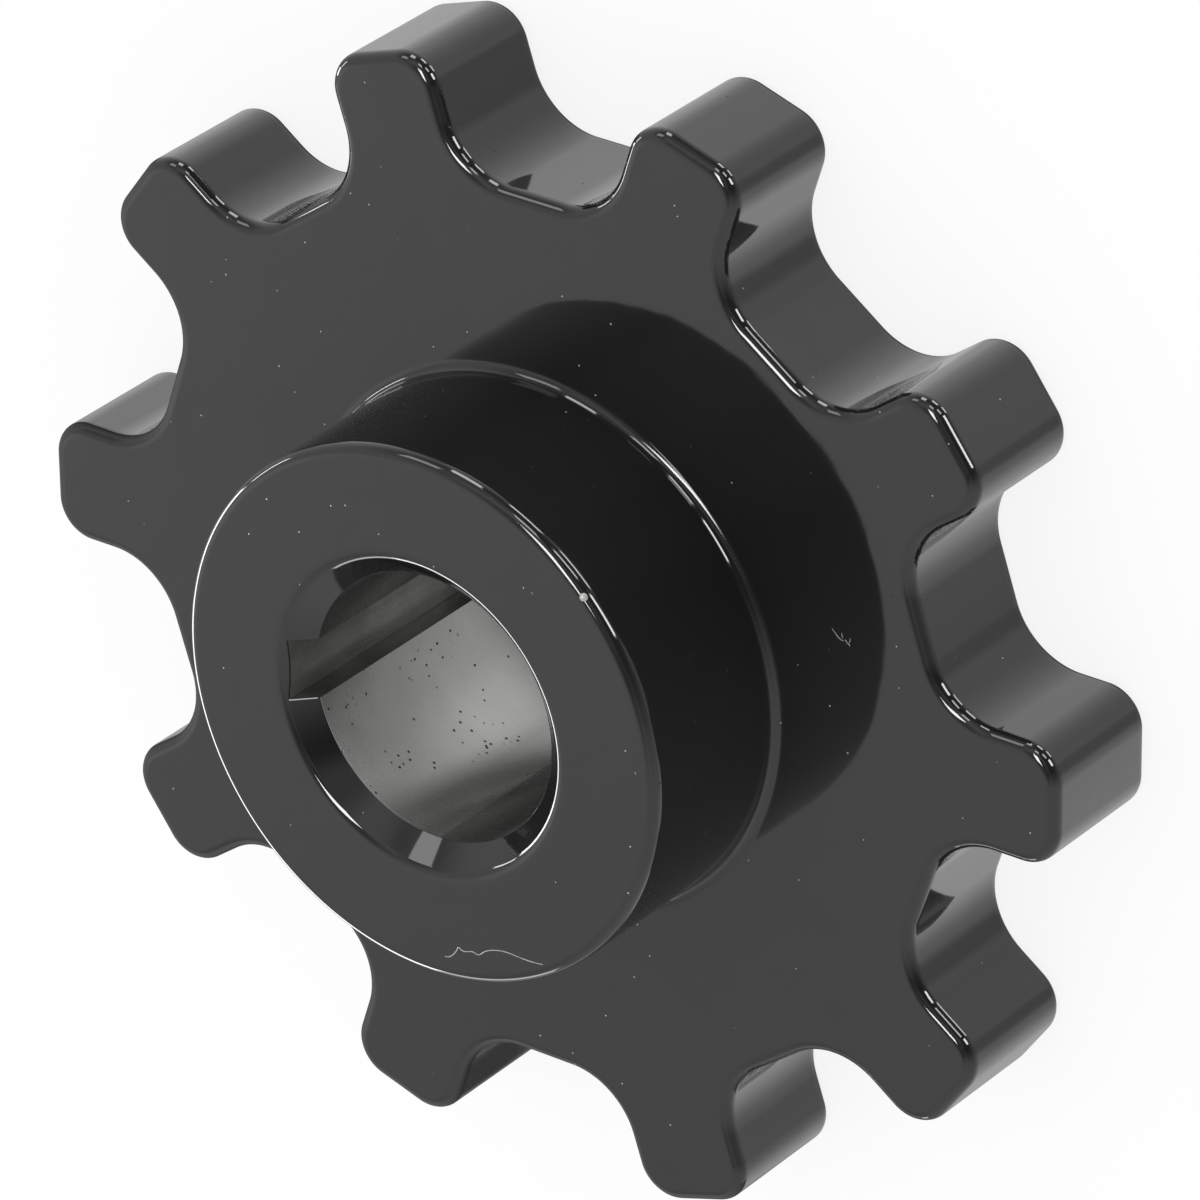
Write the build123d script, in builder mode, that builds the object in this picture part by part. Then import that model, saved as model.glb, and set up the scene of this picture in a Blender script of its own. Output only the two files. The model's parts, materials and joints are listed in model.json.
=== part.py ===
from build123d import *
from math import cos, radians, sin, sqrt, tan
import os

# A chain sprocket in one piece: a thick toothed plate with a plain hub on one side,
# bored through and keyed. All sizes are millimetres.
# The bore axis is Z, the plate's back face lies on Z = 0 and the hub points up.
# One tooth is centred on +X, and the keyway is cut behind that tooth.

# The chain that the teeth carry
chain_pitch = 41.4
roller_diameter = 16.66
tooth_count = 10

# Tooth form: straight flanks parallel to the tooth's own centre line, with wide gaps between them
tooth_width = 16.1
tooth_height = 16.1
tip_radius = 5.0
root_radius = 9.4
plate_thickness = 19.05
tooth_edge_chamfer = 0.9

# Hub
hub_diameter = 69.5
hub_projection = 23.8
hub_base_radius = 1.3
hub_edge_radius = 1.3

# Bore and keyway
bore_diameter = 34.925
mouth_chamfer = 3.1
back_chamfer = 1.0
keyway_width = 8.0
keyway_depth = 2.7

# Circles are picked out by their radius to within this much
radius_match = 0.001

# A roller that sits at the middle of a gap's floor has its centre on the pitch circle
half_step = 180 / tooth_count
pitch_circle_radius = chain_pitch / (2 * sin(radians(half_step)))
floor_distance = pitch_circle_radius - roller_diameter / 2
outside_radius = floor_distance + tooth_height
total_length = plate_thickness + hub_projection

# Seen from a gap's centre line, the centre lines of the two teeth beside it lean out by half a step.
# Each flank runs beside its tooth's centre line, so it meets the gap's floor at this corner.
corner_offset = floor_distance * tan(radians(half_step)) - tooth_width / (2 * cos(radians(half_step)))

# The flanks are drawn well past the teeth, to twice the outside radius
gap_depth = 2 * outside_radius - floor_distance
mouth_offset = corner_offset + gap_depth * tan(radians(half_step))

# The two root arcs of a gap share its floor, and always leave a little of it flat between them
flat_share = 0.05
widest_root_radius = (1 - flat_share) * corner_offset * tan(radians((90 + half_step) / 2))
gap_root_radius = min(root_radius, widest_root_radius)

# The keyway's sides leave the round wall half a width beside its centre line
keyway_floor = sqrt((bore_diameter / 2) ** 2 - (keyway_width / 2) ** 2) + keyway_depth

# A single gap with its centre line along X: floor, root arcs and the two flanks
with BuildSketch() as gap:
    with BuildLine():
        Polyline(
            (floor_distance + gap_depth, -mouth_offset),
            (floor_distance, -corner_offset),
            (floor_distance, corner_offset),
            (floor_distance + gap_depth, mouth_offset),
            close=True,
        )
    make_face()
    fillet(gap.vertices().group_by(Axis.X)[0], radius=gap_root_radius)

# The toothed outline: a disc as large as the tooth tips, the gaps cut from it, the tooth corners rounded
with BuildSketch() as outline:
    Circle(outside_radius)
    with PolarLocations(0, tooth_count, start_angle=half_step):
        add(gap.sketch, mode=Mode.SUBTRACT)
    tip_corners = outline.vertices().filter_by(
        lambda corner: corner.center().length > outside_radius - radius_match
    )
    fillet(tip_corners, radius=tip_radius)

with BuildPart() as sprocket:
    # Toothed plate, with its sharp edges broken along the whole outline on both faces
    add(outline.sketch)
    extrude(amount=plate_thickness)
    plate_edges = sprocket.edges().group_by(Axis.Z)
    chamfer(plate_edges[0] + plate_edges[-1], length=tooth_edge_chamfer)

    # Hub on the front face, rounded over at its nose and blended into the plate
    with BuildSketch(Plane.XY.offset(plate_thickness)):
        Circle(hub_diameter / 2)
    extrude(amount=hub_projection)
    hub_circles = sprocket.edges().filter_by(GeomType.CIRCLE).filter_by(
        lambda edge: abs(edge.radius - hub_diameter / 2) < radius_match
    )
    fillet(hub_circles.sort_by(Axis.Z)[-1], radius=hub_edge_radius)
    fillet(hub_circles.sort_by(Axis.Z)[0], radius=hub_base_radius)

    # Bore right through, with a wide chamfer at the hub's mouth and a small one at the back
    with BuildSketch():
        Circle(bore_diameter / 2)
    extrude(amount=total_length, mode=Mode.SUBTRACT)
    bore_circles = sprocket.edges().filter_by(GeomType.CIRCLE).filter_by(
        lambda edge: abs(edge.radius - bore_diameter / 2) < radius_match
    )
    chamfer(bore_circles.sort_by(Axis.Z)[-1], length=mouth_chamfer)
    chamfer(bore_circles.sort_by(Axis.Z)[0], length=back_chamfer)

    # Keyway through the whole length, cut outwards from the bore's axis
    with BuildSketch():
        Rectangle(keyway_floor, keyway_width, align=(Align.MIN, Align.CENTER))
    extrude(amount=total_length, mode=Mode.SUBTRACT)

sprocket.part.label = "sprocket"

os.makedirs("parts", exist_ok=True)
export_step(sprocket.part, "parts/sprocket.step")
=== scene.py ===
# %% [markdown]
# A painted chain sprocket
#
# The object is one piece of steel: a thick plate with teeth, a plain hub on one face, and a keyed
# bore. It is painted gloss black, and only the bore and the keyway are bare. Nearly all of its look
# is reflection, so clean smooth surfaces and round edges matter more here than colour does.

# %% Load the measured model
import bmesh
import bpy
import json
from math import cos, pi, radians, sin, tan
from mathutils import Matrix, Vector


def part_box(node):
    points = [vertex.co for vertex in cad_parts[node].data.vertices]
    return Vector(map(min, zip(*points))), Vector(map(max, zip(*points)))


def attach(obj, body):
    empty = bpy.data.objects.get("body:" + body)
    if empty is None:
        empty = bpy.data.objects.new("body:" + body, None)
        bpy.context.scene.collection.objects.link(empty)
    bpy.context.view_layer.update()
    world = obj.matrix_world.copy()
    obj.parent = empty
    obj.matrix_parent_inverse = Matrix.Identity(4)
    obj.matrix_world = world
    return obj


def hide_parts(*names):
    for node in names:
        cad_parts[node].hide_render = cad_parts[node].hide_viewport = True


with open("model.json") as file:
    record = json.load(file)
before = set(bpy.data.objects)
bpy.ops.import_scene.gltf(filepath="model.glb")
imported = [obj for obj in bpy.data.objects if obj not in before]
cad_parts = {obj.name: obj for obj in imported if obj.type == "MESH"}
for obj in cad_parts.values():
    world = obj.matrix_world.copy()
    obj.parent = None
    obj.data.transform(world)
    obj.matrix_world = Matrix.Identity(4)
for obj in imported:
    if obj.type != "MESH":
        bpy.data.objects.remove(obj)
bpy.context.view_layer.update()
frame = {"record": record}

# %% [markdown]
# Sizes
#
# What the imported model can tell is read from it: its box gives the outside radius and the length,
# and its list of mounts gives the bore and the keyway's floor. The other sizes are those of the
# real sprocket. Blender counts in metres, so a millimetre is written as a small number with a name.

# %% Sizes of the sprocket
mm = 0.001
low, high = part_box("sprocket")
mounts = {mount["name"]: mount for mount in frame["record"]["mounts"]}

tooth_count = 10
outside_radius = (high[0] - low[0]) / 2
total_length = high[2]
bore_radius = mounts["bore"]["dims"]["r_mm"] * mm
keyway_floor = mounts["keyway"]["pos_m"][0]

tooth_height = 16.1 * mm
tooth_width = 16.1 * mm
tip_radius = 5.0 * mm
root_radius = 9.4 * mm
plate_thickness = 19.05 * mm
tooth_edge_radius = 1.4 * mm

hub_radius = 34.75 * mm
hub_foot_radius = 1.3 * mm
hub_edge_radius = 1.3 * mm

mouth_chamfer = 3.1 * mm
mouth_lip_radius = 1.7 * mm
mouth_land = 0.06 * mm
back_chamfer = 1.0 * mm
keyway_width = 8.0 * mm

# How far a flat runs on beyond a rounding before the next ring of points
rim_margin = 0.25 * mm
print("outside radius", outside_radius, "length", total_length, "bore radius", bore_radius)

# %% [markdown]
# A little help for building trees
#
# Shapes, finishes and the room are all made by trees of nodes: boxes that each do one thing, joined
# by links. Written out in full, every box takes several lines of script. This helper adds one box
# per line, and feeds each of its inputs either a plain value or another box's result.

# %% A helper for all trees
class Tree:
    """A tree of nodes, built one node per line."""

    def __init__(self, tree):
        self.tree = tree

    def feed(self, socket, value):
        """Gives an input a plain value, or links another node's output to it."""
        if isinstance(value, bpy.types.NodeSocket):
            self.tree.links.new(value, socket)
        else:
            socket.default_value = value

    def add(self, kind, sockets=(), **settings):
        """Adds a node. sockets pairs an input's name or number with what it is fed."""
        node = self.tree.nodes.new(kind)
        for setting, value in settings.items():
            setattr(node, setting, value)
        for key, value in dict(sockets).items():
            self.feed(node.inputs[key], value)
        return node

    def math(self, operation, first, second=0.0, **settings):
        return self.add("ShaderNodeMath", {0: first, 1: second}, operation=operation, **settings).outputs[0]

    def times(self, first, *others):
        """Multiplies two or more numbers."""
        for other in others:
            first = self.math("MULTIPLY", first, other)
        return first


# %% [markdown]
# Trees that make shapes
#
# A Geometry Nodes tree is a recipe for a shape. Its inputs have names, so that the sizes stand
# outside it and one number can be changed without looking for it. Both main shapes of the sprocket
# are swept: a section, whose corners say how far they are rounded, is led along a level path.

# %% A helper for recipes of shapes
class Recipe(Tree):
    """A Geometry Nodes tree with named inputs."""

    def __init__(self, name, counts=(), sizes=(), finishes=()):
        super().__init__(bpy.data.node_groups.new(name, "GeometryNodeTree"))
        face = self.tree.interface
        face.new_socket("Geometry", in_out="INPUT", socket_type="NodeSocketGeometry")
        for kind, labels in (("Int", counts), ("Float", sizes), ("Material", finishes)):
            for label in labels:
                face.new_socket(label, in_out="INPUT", socket_type="NodeSocket" + kind)
        face.new_socket("Geometry", in_out="OUTPUT", socket_type="NodeSocketGeometry")
        self.given = self.tree.nodes.new("NodeGroupInput").outputs

    def pick(self, test, if_false, if_true):
        """Gives one of two numbers, by a test that is 0 or 1."""
        rise = self.math("SUBTRACT", if_true, if_false)
        return self.math("ADD", if_false, self.times(test, rise))

    def circle(self, points, radius):
        sockets = {"Resolution": points, "Radius": radius}
        return self.add("GeometryNodeCurvePrimitiveCircle", sockets).outputs[0]

    def round_corners(self, curve, radius, points):
        sockets = {"Curve": curve, "Radius": radius, "Count": points}
        return self.add("GeometryNodeFilletCurve", sockets, mode="POLY").outputs[0]

    def sweep(self, path, points):
        """Sweeps the given section along a level path, with its corners rounded by so many points."""
        level = self.add("GeometryNodeSetCurveNormal", {"Curve": path}, mode="Z_UP").outputs[0]
        chain = self.add("GeometryNodeMeshToCurve", {"Mesh": self.given["Geometry"]}).outputs[0]
        stored = self.add("GeometryNodeInputNamedAttribute", {"Name": "rounding"}, data_type="FLOAT")
        section = self.round_corners(chain, stored.outputs[0], points)
        return self.add("GeometryNodeCurveToMesh", {"Curve": level, "Profile Curve": section}).outputs[0]

    def position(self):
        return self.add("GeometryNodeInputPosition").outputs[0]

    def real(self, geometry):
        return self.add("GeometryNodeRealizeInstances", {"Geometry": geometry}).outputs[0]

    def paint(self, geometry, finish, where=True):
        sockets = {"Geometry": geometry, "Selection": where, "Material": finish}
        return self.add("GeometryNodeSetMaterial", sockets).outputs[0]

    def end(self, geometry):
        self.feed(self.tree.nodes.new("NodeGroupOutput").inputs[0], geometry)
        print("recipe", self.tree.name, "has", len(self.tree.nodes), "nodes")
        return self


# %% Run a recipe
def run_recipe(recipe, mesh, values):
    """Runs a recipe on a mesh and returns the result as a plain mesh."""
    carrier = bpy.data.objects.new("carrier", mesh)
    bpy.context.scene.collection.objects.link(carrier)
    step = carrier.modifiers.new("recipe", "NODES")
    step.node_group = recipe.tree
    for item in recipe.tree.interface.items_tree:
        if item.in_out == "INPUT" and item.name in values:
            step[item.identifier] = values[item.name]
    depsgraph = bpy.context.evaluated_depsgraph_get()
    result = bpy.data.meshes.new_from_object(carrier.evaluated_get(depsgraph))
    carrier.modifiers.remove(step)
    bpy.data.objects.remove(carrier)
    print(recipe.tree.name, "made", len(result.vertices), "points", len(result.polygons), "faces")
    return result


def section_mesh(name, corners):
    """A chain of points in the plane of a section, from (radius, height, rounding) triples."""
    mesh = bpy.data.meshes.new(name)
    points = [(radius, -height, 0) for radius, height, rounding in corners]
    mesh.from_pydata(points, [(i, i + 1) for i in range(len(points) - 1)], [])
    layer = mesh.attributes.new("rounding", "FLOAT", "POINT")
    layer.data.foreach_set("value", [rounding for radius, height, rounding in corners])
    return mesh


# %% [markdown]
# The paint
#
# The paint is a black enamel: almost no colour of its own, and a clear hard skin that mirrors the
# room. Dust has settled in it while it was wet, and it is very slightly rippled. Both are small
# changes to the surface, so they go into colour, roughness and bump, and the mesh stays smooth.
# Where the keyway was cut through it, a dark line and a painted highlight run along its edges.

# %% A helper for finishes
class Finish(Tree):
    """A material with a Principled shader, laid out by a point's place on the sprocket."""

    def __init__(self, name):
        self.material = bpy.data.materials.new(name)
        self.material.use_nodes = True
        super().__init__(self.material.node_tree)
        self.shader = self.tree.nodes["Principled BSDF"]
        self.place = self.add("ShaderNodeTexCoord").outputs["Object"]

    def along(self, axis):
        """How far a point lies along one axis of the sprocket."""
        return self.add("ShaderNodeSeparateXYZ", {0: self.place}).outputs[axis]

    def stretched(self, scale):
        return self.add("ShaderNodeMapping", {"Vector": self.place, "Scale": scale}).outputs[0]

    def noise(self, scale, detail=2.0, roughness=0.5, place=None):
        sockets = {"Vector": place or self.place, "Scale": scale, "Detail": detail, "Roughness": roughness}
        return self.add("ShaderNodeTexNoise", sockets).outputs[0]

    def ramp(self, value, start, end, low_value=0.0, high_value=1.0):
        """Maps a stretch of a value to another stretch, held flat past both ends."""
        sockets = {"Value": value, 1: start, 2: end, 3: low_value, 4: high_value}
        return self.add("ShaderNodeMapRange", sockets).outputs[0]

    def blend(self, factor, first, second):
        """Mixes two colours."""
        sockets = {"Factor": factor, 6: first, 7: second}
        return self.add("ShaderNodeMix", sockets, data_type="RGBA").outputs[2]

    def bump(self, height, distance, strength, normal=None):
        """Bends the surface by a height, on top of an earlier bump where there is one."""
        sockets = {"Height": height, "Distance": distance, "Strength": strength}
        if normal:
            sockets["Normal"] = normal
        return self.add("ShaderNodeBump", sockets).outputs[0]

    def put(self, name, value):
        self.feed(self.shader.inputs[name], value)

    def show(self, shader):
        """Shows another shader in place of the first one."""
        self.feed(self.tree.nodes["Material Output"].inputs["Surface"], shader)

    def done(self):
        print("finish", self.material.name, "has", len(self.tree.nodes), "nodes")
        return self.material


def grey(level, blue):
    """A warm grey, whose blue is a little weaker than its red and green."""
    return (level, level, blue, 1)


# %% Specks, and lines around the keyway's end
def specks(finish, spacing, size, share, crowd=None):
    """Small round spots in a few of the cells of a fine scatter: 1 in a spot, 0 elsewhere."""
    core = 0.7 * size
    cells = finish.add("ShaderNodeTexVoronoi", {"Vector": finish.place, "Scale": 1 / spacing})
    chance = finish.add("ShaderNodeSeparateColor", {0: cells.outputs["Color"]}).outputs[0]
    limit = finish.times(crowd, share) if crowd else share
    chosen = finish.math("LESS_THAN", chance, limit)
    spot = finish.ramp(cells.outputs["Distance"], core / spacing, size / spacing, 1.0, 0.0)
    return finish.times(spot, chosen)


def near(finish, axis, middle, reach):
    """1 where a point lies within a reach of a middle along one axis, 0 a little farther off."""
    fade = 0.06 * mm
    gap = finish.math("ABSOLUTE", finish.math("SUBTRACT", finish.along(axis), middle))
    return finish.ramp(gap, reach, reach + fade, 1.0, 0.0)


def keyway_edge_lines(finish):
    """The dark line across the keyway's outer end, and the painted highlight along its visible side."""
    line = 0.09 * mm
    half_depth = 1.2 * mm
    mouth = finish.ramp(finish.along("Z"), 39 * mm, 39.5 * mm)
    end = finish.times(near(finish, "X", keyway_floor, line), near(finish, "Y", 0.0, keyway_width / 2))
    beside = near(finish, "Y", keyway_width / 2, line)
    side = finish.times(beside, near(finish, "X", keyway_floor - half_depth, half_depth))
    return finish.times(end, mouth), finish.times(side, mouth)


# %% Gloss black enamel
def black_enamel():
    enamel = Finish("black_enamel")
    speck_roughness, mirror_level = 0.4, 0.5
    dark_edge_line, painted_edge_highlight = keyway_edge_lines(enamel)
    dust = specks(enamel, spacing=2.4 * mm, size=0.13 * mm, share=0.32)
    pits = specks(enamel, spacing=2.9 * mm, size=0.14 * mm, share=0.3)
    clouds = enamel.noise(60.0, detail=3.0)
    coat = enamel.blend(clouds, (0.0115, 0.0118, 0.0116, 1), (0.0142, 0.0146, 0.0138, 1))
    dusty = enamel.blend(dust, coat, grey(0.45, blue=0.43))
    # Painted highlight: the enamel is made pale along the keyway's visible edge
    enamel.put("Base Color", enamel.blend(painted_edge_highlight, dusty, grey(0.6, blue=0.59)))
    # The dark line across the keyway's end mirrors nothing: its specular level drops to 0
    enamel.put("Specular IOR Level", enamel.ramp(dark_edge_line, 0.0, 1.0, mirror_level, 0.0))
    marred = enamel.times(enamel.math("MAXIMUM", dust, pits), speck_roughness)
    smooth = enamel.ramp(clouds, 0.3, 0.7, 0.045, 0.07)
    enamel.put("Roughness", enamel.math("ADD", smooth, marred))
    ripple = enamel.bump(enamel.noise(170.0, detail=1.0), distance=0.03 * mm, strength=0.8)
    raised = enamel.math("SUBTRACT", dust, pits)
    enamel.put("Normal", enamel.bump(raised, distance=0.08 * mm, strength=0.8, normal=ripple))
    enamel.put("IOR", 1.5)
    return enamel.done()


enamel = black_enamel()

# %% [markdown]
# The bare steel
#
# The bore is turned, so fine rings run round it. Rings smear what they mirror up and down but not
# round the bore, which is what an anisotropic shader does when its tangent runs round the axis. The
# keyway is broached along its length. Painted light brightens its floor towards one side, and its
# side walls are darker than its floor with painted shade. The picture also shows duller and brighter
# strips that run the length of the bore. They are partly the tools' marks and partly shade and
# reflection, which a small studio can't mirror, so they are painted into the steel's tone as painted
# shade and painted light, by the X and Y of a point. Where the bore meets its mouth chamfer, there
# is a land as thin as a hair, with a painted highlight on one side only and painted shade elsewhere.

# %% Bored steel
def bore_painted_shade_and_light(steel):
    """Painted shade and painted light on the bore's wall at a point: two shares from 0 to 1."""
    x, y = steel.along("X"), steel.along("Y")
    far_wall = steel.ramp(y, 4 * mm, 6 * mm)
    # Painted shade: a dark strip beside the keyway, on its side of negative Y
    darkest_painted_shade = 0.62
    near_keyway = steel.ramp(y, -12 * mm, -4 * mm, 0.25, darkest_painted_shade)
    past_keyway = steel.ramp(y, -1 * mm, 1 * mm, 0.0, darkest_painted_shade)
    painted_shade = steel.times(steel.math("SUBTRACT", near_keyway, past_keyway), steel.ramp(x, 9 * mm, 12 * mm))
    # A sharp line runs down the far wall, with painted light on one side and painted shade on the other
    painted_light_end, painted_shade_start = -0.5 * mm, -0.8 * mm
    shade = steel.ramp(x, painted_light_end, -11 * mm, 0.1, 0.4)
    shaded = steel.times(shade, steel.ramp(x, painted_light_end, painted_shade_start), far_wall)
    # Painted light: a band on the far wall, fading out towards the keyway and ending at the sharp line
    glow = steel.ramp(x, 4.5 * mm, 1 * mm, 0.0, 0.33)
    painted_light = steel.times(glow, steel.ramp(x, painted_shade_start, painted_light_end), far_wall)
    return steel.math("ADD", painted_shade, shaded), painted_light


def bored_steel():
    steel = Finish("bored_steel")
    steel.put("Metallic", 1.0)
    rings = steel.noise(60.0, detail=4.0, roughness=0.6, place=steel.stretched((1.0, 1.0, 60.0)))
    crowd = steel.ramp(steel.noise(150.0), 0.46, 0.6, 0.1, 1.0)
    pits = specks(steel, spacing=1.0 * mm, size=0.19 * mm, share=0.9, crowd=crowd)
    stain = steel.ramp(steel.noise(90.0, detail=3.0), 0.35, 0.7)
    tone = steel.blend(stain, grey(0.36, blue=0.351), grey(0.43, blue=0.42))
    painted_shade, painted_light = bore_painted_shade_and_light(steel)
    # Painted light: blends the steel's tone towards white
    tone = steel.blend(painted_light, tone, grey(1.0, blue=0.98))
    # Painted shade: blends the steel's tone towards black
    tone = steel.blend(painted_shade, tone, grey(0.0, blue=0.0))
    steel.put("Base Color", steel.blend(pits, tone, grey(0.012, blue=0.011)))
    steel.put("Roughness", steel.ramp(rings, 0.2, 0.8, 0.262, 0.28))
    steel.put("Anisotropic", 0.85)
    steel.put("Anisotropic Rotation", 0.25)
    steel.put("Tangent", steel.add("ShaderNodeTangent", direction_type="RADIAL", axis="Z").outputs[0])
    scored = steel.bump(rings, distance=0.001 * mm, strength=0.1)
    sunk = steel.math("SUBTRACT", 1.0, pits)
    steel.put("Normal", steel.bump(sunk, distance=0.05 * mm, strength=0.6, normal=scored))
    return steel.done()


bored = bored_steel()


# %% Broached keyway steel
def broached_steel():
    steel = Finish("broached_steel")
    steel.put("Metallic", 0.85)
    drags = steel.noise(900.0, detail=4.0, roughness=0.6, place=steel.stretched((1.0, 1.0, 0.05)))
    nicks = specks(steel, spacing=1.5 * mm, size=0.12 * mm, share=0.4)
    stain = steel.ramp(steel.noise(160.0, detail=4.0, roughness=0.65), 0.35, 0.65, 0.0, 0.24)
    y = steel.along("Y")
    # Random stain, plus painted light that brightens the keyway towards +Y
    stain_and_painted_light = steel.math("ADD", stain, steel.ramp(y, -2 * mm, 3.8 * mm, 0.06, 0.76))
    # Painted shade: the side walls, at the keyway's half width, are darker than its floor
    side_wall_painted_shade = steel.ramp(steel.math("ABSOLUTE", y), 3.93 * mm, 3.97 * mm, 0.0, 0.66)
    share = steel.math("SUBTRACT", stain_and_painted_light, side_wall_painted_shade, use_clamp=True)
    tone = steel.blend(share, grey(0.09, blue=0.087), grey(0.37, blue=0.36))
    steel.put("Base Color", steel.blend(nicks, tone, grey(0.03, blue=0.028)))
    steel.put("Roughness", steel.ramp(drags, 0.3, 0.7, 0.24, 0.36))
    steel.put("Normal", steel.bump(drags, distance=0.02 * mm, strength=0.4))
    return steel.done()


broached = broached_steel()


# %% Bare land at the bore's mouth, with a painted highlight
def burnished_steel():
    """A thin bare land with a painted highlight on one side of the bore and painted shade on the others."""
    steel = Finish("burnished_steel")
    steel.put("Metallic", 1.0)
    wear = steel.noise(400.0, detail=3.0, roughness=0.6)
    tone = steel.blend(steel.ramp(wear, 0.35, 0.65), grey(0.20, blue=0.196), grey(0.40, blue=0.39))
    # Painted highlight where X and Y are both large, and painted shade, nearly black, elsewhere
    bright_x = steel.ramp(steel.along("X"), 2 * mm, 6 * mm)
    bright_y = steel.ramp(steel.along("Y"), 0.0, 3 * mm)
    painted_highlight_share = steel.times(bright_x, bright_y)
    steel.put("Base Color", steel.blend(painted_highlight_share, grey(0.03, blue=0.029), tone))
    steel.put("Roughness", steel.ramp(wear, 0.3, 0.7, 0.12, 0.28))
    return steel.done()


land_finish = burnished_steel()


# %% Pale fibre
def pale_fibre():
    """Lint and dried paint that stand out pale against the black."""
    fibre = Finish("pale_fibre")
    length = fibre.ramp(fibre.noise(700.0), 0.35, 0.65)
    fibre.put("Base Color", fibre.blend(length, grey(0.24, blue=0.23), grey(0.44, blue=0.42)))
    fibre.put("Roughness", 0.35)
    return fibre.done()


lint = pale_fibre()

# %% [markdown]
# The toothed plate
#
# The outline of the teeth follows a rule, so a tree draws it. Four corners make one tooth: two at
# the tip, and two where its straight flanks meet the floors of the gaps beside it. The tree places
# four points per tooth round the bore, rounds each corner by its own radius, and then sweeps the
# plate's edge, with its rounded rims, along that outline. Last it fills the two flat faces.

# %% The outline of the teeth
def outline_of_teeth(recipe):
    given = recipe.given
    corners = 4
    middle_corner = (corners - 1) / 2
    ring = recipe.circle(recipe.times(given["Teeth"], corners), 1.0)
    index = recipe.add("GeometryNodeInputIndex").outputs[0]
    tooth = recipe.math("FLOOR", recipe.math("DIVIDE", index, corners))
    corner = recipe.math("SUBTRACT", index, recipe.times(tooth, corners))
    from_middle = recipe.math("ABSOLUTE", recipe.math("SUBTRACT", corner, middle_corner))
    at_tip = recipe.math("LESS_THAN", from_middle, 1.0)
    side = recipe.pick(recipe.math("GREATER_THAN", corner, middle_corner), -1.0, 1.0)

    half_step = recipe.math("DIVIDE", pi, given["Teeth"])
    half_width = recipe.math("DIVIDE", given["Tooth Width"], 2)
    lean = recipe.times(half_width, recipe.math("SINE", half_step))
    inwards = recipe.math("SUBTRACT", given["Floor Distance"], lean)
    foot = recipe.math("DIVIDE", inwards, recipe.math("COSINE", half_step))
    reach = recipe.pick(at_tip, foot, given["Outside Radius"])
    sockets = {"X": reach, "Y": recipe.times(side, half_width)}
    place = recipe.add("ShaderNodeCombineXYZ", sockets).outputs[0]
    sockets = {"Vector": place, "Angle": recipe.times(tooth, recipe.times(half_step, 2))}
    turned = recipe.add("ShaderNodeVectorRotate", sockets, rotation_type="Z_AXIS").outputs[0]
    moved = recipe.add("GeometryNodeSetPosition", {"Geometry": ring, "Position": turned}).outputs[0]
    radius = recipe.pick(at_tip, given["Root Radius"], given["Tip Radius"])
    return recipe.round_corners(moved, radius, points=28)


# %% The swept edge and the two faces
def toothed_plate_recipe():
    recipe = Recipe("toothed_plate", counts=["Teeth", "Ring Points"], finishes=["Paint"], sizes=[
        "Outside Radius", "Floor Distance", "Tooth Width", "Tip Radius", "Root Radius", "Thickness",
        "Front Hole", "Back Hole"])
    given = recipe.given
    edge = recipe.sweep(outline_of_teeth(recipe), points=7)
    joined = recipe.add("GeometryNodeJoinGeometry")
    recipe.feed(joined.inputs[0], edge)

    height = recipe.add("ShaderNodeSeparateXYZ", {0: recipe.position()}).outputs["Z"]
    middle = recipe.math("DIVIDE", given["Thickness"], 2)
    neighbours = recipe.add("GeometryNodeInputMeshEdgeNeighbors").outputs[0]
    open_edge = recipe.math("LESS_THAN", neighbours, 1.5)
    faces = (("GREATER_THAN", given["Thickness"], "Front Hole"), ("LESS_THAN", 0.0, "Back Hole"))
    for test, lift, hole in faces:
        chosen = recipe.times(open_edge, recipe.math(test, height, middle))
        rim = recipe.add("GeometryNodeMeshToCurve", {"Mesh": edge, "Selection": chosen}).outputs[0]
        loops = recipe.add("GeometryNodeJoinGeometry")
        recipe.feed(loops.inputs[0], rim)
        recipe.feed(loops.inputs[0], recipe.circle(given["Ring Points"], given[hole]))
        flat = recipe.add("GeometryNodeFillCurve", {"Curve": loops.outputs[0]}, mode="TRIANGLES").outputs[0]
        offset = recipe.add("ShaderNodeCombineXYZ", {"Z": lift}).outputs[0]
        placed = recipe.add("GeometryNodeTransform", {"Geometry": flat, "Translation": offset})
        recipe.feed(joined.inputs[0], placed.outputs[0])
    sockets = {"Geometry": joined.outputs[0], "Distance": 0.002 * mm}
    closed = recipe.add("GeometryNodeMergeByDistance", sockets).outputs[0]
    return recipe.end(recipe.paint(recipe.real(closed), given["Paint"]))


# %% Make the toothed plate
ring_points = 288
foot_circle = hub_radius + hub_foot_radius + rim_margin
back_circle = bore_radius + back_chamfer + rim_margin
inset = tooth_edge_radius + rim_margin
edge_corners = [
    (-inset, plate_thickness, 0.0),
    (0.0, plate_thickness, tooth_edge_radius),
    (0.0, plate_thickness - inset, 0.0),
    (0.0, inset, 0.0),
    (0.0, 0.0, tooth_edge_radius),
    (-inset, 0.0, 0.0),
]
plate_mesh = run_recipe(toothed_plate_recipe(), section_mesh("plate_edge", edge_corners), {
    "Teeth": tooth_count, "Ring Points": ring_points, "Outside Radius": outside_radius,
    "Floor Distance": outside_radius - tooth_height, "Tooth Width": tooth_width,
    "Tip Radius": tip_radius, "Root Radius": root_radius, "Thickness": plate_thickness,
    "Front Hole": foot_circle, "Back Hole": back_circle, "Paint": enamel,
})

# %% [markdown]
# The hub and the bore
#
# Everything round the bore's axis is a turned shape: one line, swept once round. The line starts on
# the plate, climbs the foot's rounding and the hub's wall, turns over the nose, drops down the mouth
# chamfer and runs back through the bore. The circle that it is swept along has as many points as
# the holes left in the plate, so that the two shapes meet point for point.

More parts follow.
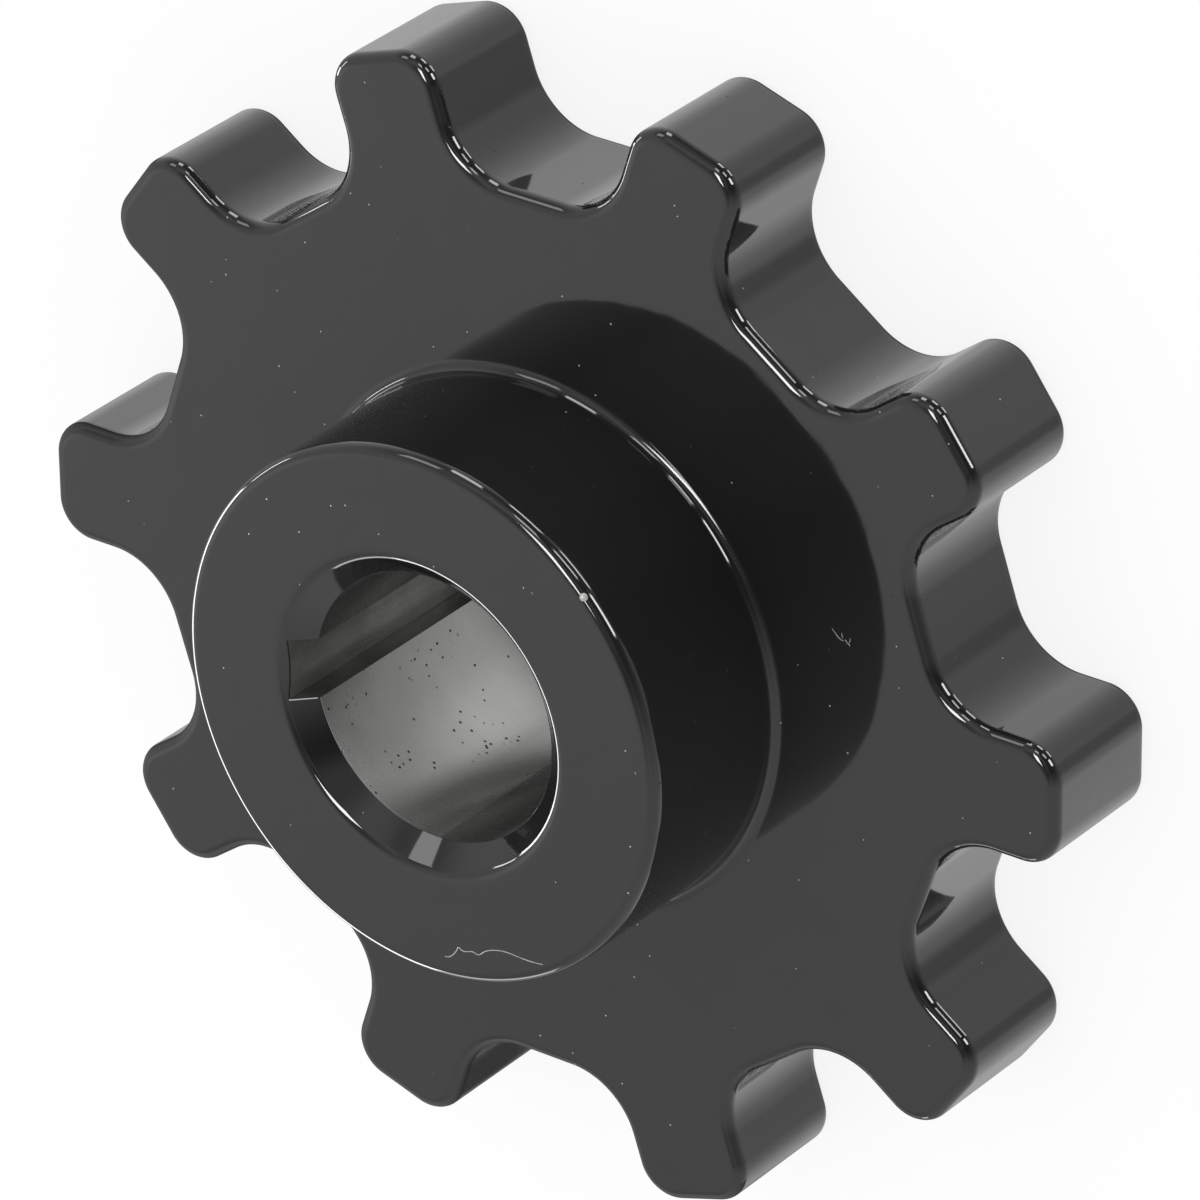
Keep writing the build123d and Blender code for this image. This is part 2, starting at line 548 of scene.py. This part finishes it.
# %% The turned shape
def turned_hub_recipe():
    recipe = Recipe("turned_hub", counts=["Ring Points"], sizes=["Sweep Radius", "Bore Radius", "Land"],
                    finishes=["Paint", "Bare", "Bright"])
    given = recipe.given
    wall_margin = 0.02 * mm
    swept = recipe.sweep(recipe.circle(given["Ring Points"], given["Sweep Radius"]), points=9)
    painted = recipe.paint(recipe.real(swept), given["Paint"])
    sockets = {0: recipe.position(), 1: (1.0, 1.0, 0.0)}
    flat = recipe.add("ShaderNodeVectorMath", sockets, operation="MULTIPLY").outputs[0]
    from_axis = recipe.add("ShaderNodeVectorMath", {0: flat}, operation="LENGTH").outputs["Value"]
    land_radius = recipe.math("ADD", given["Bore Radius"], given["Land"])
    wall_radius = recipe.math("ADD", given["Bore Radius"], wall_margin)
    edged = recipe.paint(painted, given["Bright"], recipe.math("LESS_THAN", from_axis, land_radius))
    return recipe.end(recipe.paint(edged, given["Bare"], recipe.math("LESS_THAN", from_axis, wall_radius)))


# %% Make the hub and bore
def from_sweep(radius, height, rounding=0.0):
    """A corner of the turned section, measured out from the circle that it is swept along."""
    return (radius - hub_radius, height, rounding)


mouth_radius = bore_radius + mouth_chamfer
mouth_foot = total_length - mouth_chamfer
hub_corners = [
    from_sweep(foot_circle, plate_thickness),
    from_sweep(hub_radius, plate_thickness, hub_foot_radius),
    from_sweep(hub_radius, plate_thickness + hub_foot_radius + rim_margin),
    from_sweep(hub_radius, total_length - hub_edge_radius - rim_margin),
    from_sweep(hub_radius, total_length, hub_edge_radius),
    from_sweep(hub_radius - hub_edge_radius - rim_margin, total_length),
    from_sweep(mouth_radius + mouth_lip_radius, total_length),
    from_sweep(mouth_radius, total_length, mouth_lip_radius),
    from_sweep(bore_radius + mouth_land, mouth_foot + mouth_land),
    from_sweep(bore_radius, mouth_foot + mouth_land),
    from_sweep(bore_radius, back_chamfer),
    from_sweep(bore_radius + back_chamfer, 0.0),
    from_sweep(back_circle, 0.0),
]
hub_mesh = run_recipe(turned_hub_recipe(), section_mesh("hub_section", hub_corners), {
    "Ring Points": ring_points, "Sweep Radius": hub_radius, "Bore Radius": bore_radius, "Land": mouth_land,
    "Paint": enamel, "Bare": bored, "Bright": land_finish,
})

# %% [markdown]
# One body, and its keyway
#
# Plate and hub are joined and their shared rings of points merged, which makes one closed skin, as
# on the real casting. The keyway is then broached through it: a bar of the keyway's width is taken
# away from the bore's axis outwards, and its walls bring their own bare finish with them.

# %% Join the two shapes
def join_meshes(name, parts, finishes):
    """Joins meshes into one closed skin with its faces pointing outwards."""
    weld_gap = 0.004 * mm
    joined = bpy.data.meshes.new(name)
    for finish in finishes:
        joined.materials.append(finish)
    skin = bmesh.new()
    for part in parts:
        start = len(skin.faces)
        skin.from_mesh(part)
        skin.faces.ensure_lookup_table()
        slots = [finishes.index(finish) if finish else 0 for finish in part.materials]
        for face in skin.faces[start:]:
            face.material_index = slots[face.material_index]
    bmesh.ops.remove_doubles(skin, verts=skin.verts, dist=weld_gap)
    bmesh.ops.recalc_face_normals(skin, faces=skin.faces)
    gaps = [edge for edge in skin.edges if len(edge.link_faces) != 2]
    skin.to_mesh(joined)
    skin.free()
    print(name, len(joined.vertices), "points,", len(gaps), "open edges")
    return joined


blank = join_meshes("sprocket_blank", [plate_mesh, hub_mesh], [enamel, bored, broached, land_finish])


# %% Cut the keyway
def keyway_recipe():
    recipe = Recipe("keyway", sizes=["Width", "Floor", "Length"], finishes=["Bare"])
    given = recipe.given
    wall_margin = 0.01 * mm
    size = {"X": given["Floor"], "Y": given["Width"], "Z": recipe.times(given["Length"], 2)}
    size = recipe.add("ShaderNodeCombineXYZ", size).outputs[0]
    bar = recipe.add("GeometryNodeMeshCube", {"Size": size}).outputs[0]
    middle = {"X": recipe.math("DIVIDE", given["Floor"], 2), "Z": recipe.math("DIVIDE", given["Length"], 2)}
    middle = recipe.add("ShaderNodeCombineXYZ", middle).outputs[0]
    moved = recipe.add("GeometryNodeTransform", {"Geometry": bar, "Translation": middle}).outputs[0]
    sockets = {"Mesh 1": given["Geometry"], "Mesh 2": recipe.paint(moved, given["Bare"])}
    cut = recipe.add("GeometryNodeMeshBoolean", sockets, operation="DIFFERENCE", solver="EXACT").outputs[0]

    # The new walls are all that lies within the bar's sides, so the same test paints them
    spot = recipe.add("ShaderNodeSeparateXYZ", {0: recipe.position()})
    beside = recipe.math("ABSOLUTE", spot.outputs["Y"])
    half_width = recipe.math("ADD", recipe.math("DIVIDE", given["Width"], 2), wall_margin)
    floor_reach = recipe.math("ADD", given["Floor"], wall_margin)
    walls = recipe.times(
        recipe.math("GREATER_THAN", spot.outputs["X"], 0.0),
        recipe.math("LESS_THAN", beside, half_width),
        recipe.math("LESS_THAN", spot.outputs["X"], floor_reach),
    )
    return recipe.end(recipe.paint(recipe.real(cut), given["Bare"], walls))


body_mesh = run_recipe(keyway_recipe(), blank, {
    "Width": keyway_width, "Floor": keyway_floor, "Length": total_length, "Bare": broached,
})
sharp_angle = radians(32)
body_mesh.name = "sprocket_body"
body_mesh.shade_smooth()
body_mesh.set_sharp_from_angle(angle=sharp_angle)
print("finishes of the body", [finish and finish.name for finish in body_mesh.materials])

# %% Put the body on its carrier
body = bpy.data.objects.new("sprocket_body", body_mesh)
bpy.context.scene.collection.objects.link(body)
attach(body, "root")
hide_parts("sprocket")
print("body replaces the measured solid")

# %% [markdown]
# The camera
#
# The picture was taken from far off with a long lens, about 45 degrees off the bore's axis, and the
# sprocket is rolled in the frame. The camera is placed by its aim point on the part, its direction
# and its distance, and is then rolled about its own line of sight.

# %% Place the camera
picture_size = 1200
focal_pixels = 9485.1
aim = Vector((-9.320, -8.185, 18.994)) * mm
azimuth, elevation, roll = radians(48.146), radians(44.934), radians(123.103)
distance = 1128.68 * mm

up_axis = Vector((0, 0, 1))
forward = Vector((cos(elevation) * sin(azimuth), cos(elevation) * cos(azimuth), -sin(elevation)))
level_right = forward.cross(up_axis).normalized()
level_up = level_right.cross(forward)
camera_up = level_up * cos(roll) + level_right * sin(roll)
camera_right = forward.cross(camera_up)
turn = Matrix((camera_right, camera_up, -forward)).transposed()
lens = bpy.data.cameras.new("camera")
lens.sensor_width = 36.0
lens.lens = lens.sensor_width * focal_pixels / picture_size
lens.clip_start = 0.05
camera = bpy.data.objects.new("camera", lens)
camera.matrix_world = Matrix.Translation(aim - forward * distance) @ turn.to_4x4()
bpy.context.scene.collection.objects.link(camera)
bpy.context.scene.camera = camera
print("camera at", [round(value, 3) for value in camera.location], "lens", round(lens.lens, 1), "mm")

# %% [markdown]
# What fell in the wet paint
#
# A fibre lies under the paint on the hub's nose, a few short hairs on the plate, and a drop has dried
# on the hub's rounded rim. They are marks of this one sprocket, so each is placed where the picture
# shows it: a pixel gives a line of sight, and the mark lies where that line meets the surface.

# %% Find a surface under a pixel
def seen_at(pixel, height):
    """The place on a level plane that shows at a pixel of the picture, counted from its top left."""
    across, down = (value - picture_size / 2 for value in pixel)
    sight = forward * focal_pixels + camera_right * across - camera_up * down
    start = aim - forward * distance
    return start + sight * ((height - start.z) / sight.z)


middle_pixel = (picture_size / 2, picture_size / 2)
print("height of the hub's face under the middle pixel", seen_at(middle_pixel, total_length).z)


# %% Make hairs and put them on the sprocket
def hair_mesh(name, paths, height, thickness, corners=6):
    """Thin tubes along paths of pixels, sunk by half into a level surface."""
    curve = bpy.data.curves.new(name, "CURVE")
    curve.dimensions = "3D"
    curve.bevel_depth = thickness / 2
    curve.bevel_resolution = corners // 2 - 1
    curve.resolution_u = 6
    curve.use_fill_caps = True
    for path in paths:
        strand = curve.splines.new("NURBS")
        strand.points.add(len(path) - 1)
        for point, pixel in zip(strand.points, path):
            point.co = (*seen_at(pixel, height), 1.0)
        strand.order_u = 3
        strand.use_endpoint_u = True
    holder = bpy.data.objects.new(name, curve)
    bpy.context.scene.collection.objects.link(holder)
    mesh = bpy.data.meshes.new_from_object(holder.evaluated_get(bpy.context.evaluated_depsgraph_get()))
    bpy.data.objects.remove(holder)
    return mesh


def add_piece(name, mesh, finish):
    """Makes a mesh a piece of the sprocket that rides with it."""
    mesh.materials.clear()
    mesh.materials.append(finish)
    mesh.shade_smooth()
    piece = bpy.data.objects.new(name, mesh)
    bpy.context.scene.collection.objects.link(piece)
    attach(piece, "root")
    print(name, len(mesh.polygons), "faces")


# %% Lay the fibre and the hairs
fibre_thickness = 0.13 * mm
hair_thickness = 0.09 * mm
fibre_path = [
    (445, 956), (449.5, 958), (457, 951), (458, 946), (463, 952), (473, 951), (478.5, 956),
    (485.5, 950.5), (497, 950), (507, 952), (521, 958), (535, 963), (543, 964.5),
]
hair_paths = [
    [(832, 628.5), (836, 634), (840, 639.5), (843.5, 641)],
    [(845, 639.5), (847, 642.5), (850, 646)],
    [(850, 638.5), (850.5, 641), (849, 643)],
    [(842, 633), (841.5, 636), (843, 638)],
]
add_piece("paint_fibre", hair_mesh("paint_fibre", [fibre_path], total_length, fibre_thickness), lint)
add_piece("paint_hairs", hair_mesh("paint_hairs", hair_paths, plate_thickness, hair_thickness), lint)


# %% Set the drop on the hub's rim
def drop_mesh(name, middle, outwards, radius, height):
    """A flat round drop with its foot below the surface that it stands on."""
    skin = bmesh.new()
    bmesh.ops.create_uvsphere(skin, u_segments=24, v_segments=12, radius=1.0)
    stand = outwards.to_track_quat("Z", "Y").to_matrix().to_4x4()
    shape = Matrix.Diagonal((radius, radius, height, 1.0))
    bmesh.ops.transform(skin, matrix=Matrix.Translation(middle) @ stand @ shape, verts=skin.verts)
    mesh = bpy.data.meshes.new(name)
    skin.to_mesh(mesh)
    skin.free()
    return mesh


drop_pixel = (584, 597)
drop_radius = 0.5 * mm
drop_height = 0.12 * mm
drop_below_face = 0.3 * hub_edge_radius
over_rim = seen_at(drop_pixel, total_length - drop_below_face)
radial = Vector((over_rim.x, over_rim.y, 0)).normalized()
rim_centre = radial * (hub_radius - hub_edge_radius) + up_axis * (total_length - hub_edge_radius)
outwards = (over_rim - rim_centre).normalized()
drop_foot = rim_centre + outwards * hub_edge_radius
add_piece("paint_drop", drop_mesh("paint_drop", drop_foot, outwards, drop_radius, drop_height), lint)

# %% [markdown]
# The studio
#
# Gloss black shows hardly any colour of its own, so what it mirrors is what is seen. The room is
# white, a shade brighter low down on one side and darker where the camera stands. Its plain level
# lights every finish alike. The differences from one side to another are for mirrored light only.

# %% Directions in the room
towards_camera = Vector((-forward.x, -forward.y, 0)).normalized()
sideways = up_axis.cross(towards_camera)


def room_direction(around, above):
    """A direction from the sprocket: degrees round from the camera's side, and degrees above level."""
    level = towards_camera * cos(radians(around)) + sideways * sin(radians(around))
    return level * cos(radians(above)) + up_axis * sin(radians(above))


print("the camera's side lies towards", [round(value, 3) for value in towards_camera])


# %% A helper for the white room
class Room(Tree):
    """The world's shader: a plain white, with soft patches that only mirrored rays meet."""

    def __init__(self):
        self.world = bpy.data.worlds.new("white_room")
        self.world.use_nodes = True
        super().__init__(self.world.node_tree)
        place = self.add("ShaderNodeTexCoord").outputs["Generated"]
        self.way = self.add("ShaderNodeVectorMath", {0: place}, operation="NORMALIZE").outputs[0]
        self.level = self.add("ShaderNodeValue").outputs[0]
        self.level.default_value = 1.0

    def patch(self, around, above, inner, outer, amount):
        """Brightens or darkens a round patch: full up to the inner angle, none past the outer one."""
        sockets = {0: self.way, 1: room_direction(around, above)}
        likeness = self.add("ShaderNodeVectorMath", sockets, operation="DOT_PRODUCT").outputs["Value"]
        angle = self.math("ARCCOSINE", likeness)
        sockets = {"Value": angle, 1: radians(inner), 2: radians(outer), 3: amount, 4: 0.0}
        rise = self.add("ShaderNodeMapRange", sockets, interpolation_type="SMOOTHSTEP").outputs[0]
        self.level = self.math("ADD", self.level, rise)

    def finish(self):
        """Shows the patches to mirrored rays, never quite black, and plain white to all others."""
        darkest = 0.02
        mirrored = self.add("ShaderNodeLightPath").outputs["Is Glossy Ray"]
        sockets = {"Factor": mirrored, "A": 1.0, "B": self.math("MAXIMUM", self.level, darkest)}
        strength = self.add("ShaderNodeMix", sockets, data_type="FLOAT").outputs[0]
        background = self.tree.nodes["Background"]
        self.feed(background.inputs["Color"], (1, 1, 1, 1))
        self.feed(background.inputs["Strength"], strength)
        bpy.context.scene.world = self.world


# %% Light the white room
# Each patch: degrees around, degrees above, inner angle, outer angle, change of brightness
patches = [
    (21, 23, 40, 86, -0.98),
    (177, -12, 0, 78, -1.09),
    (76, -58, 0, 90, 0.63),
    (24, -90, 18, 45, -0.90),
    (-18, 90, 15, 32, -0.61),
    (172, 21, 8, 39, 0.60),
    (37, 65, 23, 34, 0.46),
    (133, -66, 15, 21, -0.48),
    (-35, -43, 6, 19, -0.44),
    (-49, -17, 20, 25, -0.18),
    (-80, -33, 20, 34, 0.14),
    (58, 35, 16, 32, 0.55),
    (163, 36, 6, 18, 0.30),
    (-172, 30, 8, 20, -0.30),
    (-112, -47, 12, 34, 0.34),
    (121, -46, 8, 25, 0.15),
]
room = Room()
for patch in patches:
    room.patch(*patch)
room.finish()
bpy.context.scene.view_settings.view_transform = "Standard"
print("room with", len(patches), "patches and", len(room.tree.nodes), "nodes")

# %% [markdown]
# The floor
#
# The sprocket lies on a wide pale floor. To the camera it is white, with only the faint shadow of
# the teeth left on it. Mirrored rays pass through it to the white room, because the real one was
# lit from all sides. Two places are made for them: the floor under the bore, which glows where
# light falls in through the mouth, and a dusky spot beside the teeth furthest from the lamps.

# %% The floor's finish
class PaleFloor(Finish):
    """The floor's material, with soft spots for mirrored rays."""

    def spot(self, around, out, inner, outer):
        """1 within the inner radius of a place on the floor and 0 past the outer one."""
        sockets = {0: self.place, 1: room_direction(around, 0) * out}
        away = self.add("ShaderNodeVectorMath", sockets, operation="DISTANCE").outputs["Value"]
        return self.ramp(away, inner, outer, 1.0, 0.0)

    def mix(self, factor, first, second):
        """Mixes two shaders."""
        return self.add("ShaderNodeMixShader", {0: factor, 1: first, 2: second}).outputs[0]

    def glow(self, strength):
        return self.add("ShaderNodeEmission", {"Color": (1, 1, 1, 1), "Strength": strength}).outputs[0]

    def under_bore(self):
        """The glow of the floor under the bore: dim, bright on one side, with a brighter spot there."""
        dim, painted_light, brighter = 0.08, 0.58, 0.66
        centre = self.times(self.spot(around=110, out=8 * mm, inner=0.0, outer=15 * mm), brighter)
        one_side = self.spot(around=-30, out=20 * mm, inner=27 * mm, outer=34 * mm)
        lit = self.times(one_side, self.math("ADD", centre, painted_light))
        return self.glow(self.math("ADD", lit, dim))

    def finish(self):
        white_share, dusk = 0.85, 0.16
        path = self.add("ShaderNodeLightPath").outputs
        whitened = self.times(path["Is Camera Ray"], white_share)
        seen = self.mix(whitened, self.shader.outputs[0], self.glow(1.0))
        clear = self.add("ShaderNodeBsdfTransparent").outputs[0]
        beside = self.spot(around=-134, out=83 * mm, inner=12 * mm, outer=34 * mm)
        outside = self.mix(beside, clear, self.glow(dusk))
        in_bore = self.spot(around=0, out=0.0, inner=19 * mm, outer=20 * mm)
        below = self.mix(in_bore, outside, self.under_bore())
        self.show(self.mix(path["Is Glossy Ray"], seen, below))
        return self.done()


# %% Lay the floor
def flat_disc(name, radius, height, points=96):
    mesh = bpy.data.meshes.new(name)
    turns = [2 * pi * i / points for i in range(points)]
    rim = [(radius * cos(turn), radius * sin(turn), height) for turn in turns]
    mesh.from_pydata(rim, [], [tuple(range(points))])
    disc = bpy.data.objects.new(name, mesh)
    bpy.context.scene.collection.objects.link(disc)
    return disc


floor_radius = 3.0
floor_level = -0.05 * mm
pale = PaleFloor("pale_floor")
pale.put("Base Color", (1, 1, 1, 1))
pale.put("Roughness", 0.9)
floor = flat_disc("floor", floor_radius, floor_level)
floor.data.materials.append(pale.finish())
print("floor", round(floor.dimensions.x, 2), "m across")

# %% [markdown]
# A dark card
#
# In the picture the far rims of the plate end in a dark line, while the far rim of the hub, which
# stands higher, ends in a white one. A low dark wall behind the plate does that: the plate's rims
# mirror the wall, and the hub's rim looks over it at the lamp behind. Only mirrored rays meet it.

# %% Stand the card behind the plate
def card_finish():
    """Glows faintly at the card's foot, and almost as brightly as the room at its top."""
    card = Finish("dark_card")
    foot_glow, top_glow = 0.15, 0.95
    brightness = card.ramp(card.along("Z"), 4 * mm, 30 * mm, foot_glow, top_glow)
    card.show(card.add("ShaderNodeEmission", {"Strength": brightness}).outputs[0])
    return card.done()


def bent_card(name, radius, foot, top, first, last, points=48):
    """A low wall bent round the far side of the sprocket, from one direction to another."""
    line = [room_direction(first + (last - first) * i / points, 0) * radius for i in range(points + 1)]
    corners = [(spot.x, spot.y, height) for height in (foot, top) for spot in line]
    faces = [(i, i + 1, points + 2 + i, points + 1 + i) for i in range(points)]
    mesh = bpy.data.meshes.new(name)
    mesh.from_pydata(corners, [], faces)
    mesh.materials.append(card_finish())
    wall = bpy.data.objects.new(name, mesh)
    bpy.context.scene.collection.objects.link(wall)
    wall.visible_camera = wall.visible_diffuse = wall.visible_shadow = wall.visible_transmission = False
    return wall


card = bent_card("card_behind", radius=95 * mm, foot=0.0, top=34 * mm, first=105, last=255)
print("card", round(card.dimensions.z / mm, 1), "mm high")

# %% [markdown]
# The lamps
#
# Small soft boxes stand round the camera. Each rounded rim mirrors all of them side by side within
# a millimetre, which draws the fine white lines that follow the edges. Four more stand behind the
# sprocket, low down: they draw the white line along the far rim of the hub. All of them light
# mirrored rays only, so they put lines on gloss and leave every colour as bright as it is written.

# %% Set up the soft boxes
lamp_distance = 1.6


def soft_box(name, around, above, across, upright, brightness, lean=0.0):
    """A lamp that faces the sprocket. Its place and size are the degrees that it covers."""
    light = bpy.data.lights.new(name, "AREA")
    light.shape = "RECTANGLE"
    light.size = 2 * lamp_distance * tan(radians(across) / 2)
    light.size_y = 2 * lamp_distance * tan(radians(upright) / 2)
    light.energy = brightness * pi * light.size * light.size_y
    box = bpy.data.objects.new(name, light)
    way = room_direction(around, above)
    level = up_axis.cross(way).normalized()
    facing = Matrix((level, way.cross(level), way)).transposed()
    facing = facing @ Matrix.Rotation(radians(lean), 3, "Z")
    box.matrix_world = Matrix.Translation(aim + way * lamp_distance) @ facing.to_4x4()
    box.visible_camera = False
    box.visible_diffuse = False
    bpy.context.scene.collection.objects.link(box)


# Each lamp: degrees around, degrees above, degrees wide, degrees tall, brightness, lean
lamps = {
    "box_low_front": (-5, 0, 16, 20, 18),
    "box_front": (16, 11, 12, 15, 10),
    "box_beside_camera": (37, 31, 10, 13, 8),
    "box_low_side": (61, 1, 12, 23, 9),
    "box_side": (84, 31, 13, 18, 3.8, -30),
    "box_below_side": (38, -23, 14, 13, 11),
    "box_below_front": (14, -35, 14, 9, 11),
    "box_overhead": (44, 75, 11, 26, 24),
    "box_behind": (180, 3, 36, 22, 9),
    "box_behind_left": (152, 6.5, 20, 15, 12),
    "box_far_left": (134, 14, 12, 6, 12),
    "box_behind_right": (-152, 6.5, 20, 15, 4),
}
for name, lamp in lamps.items():
    soft_box(name, *lamp)
print(len(lamps), "soft boxes")
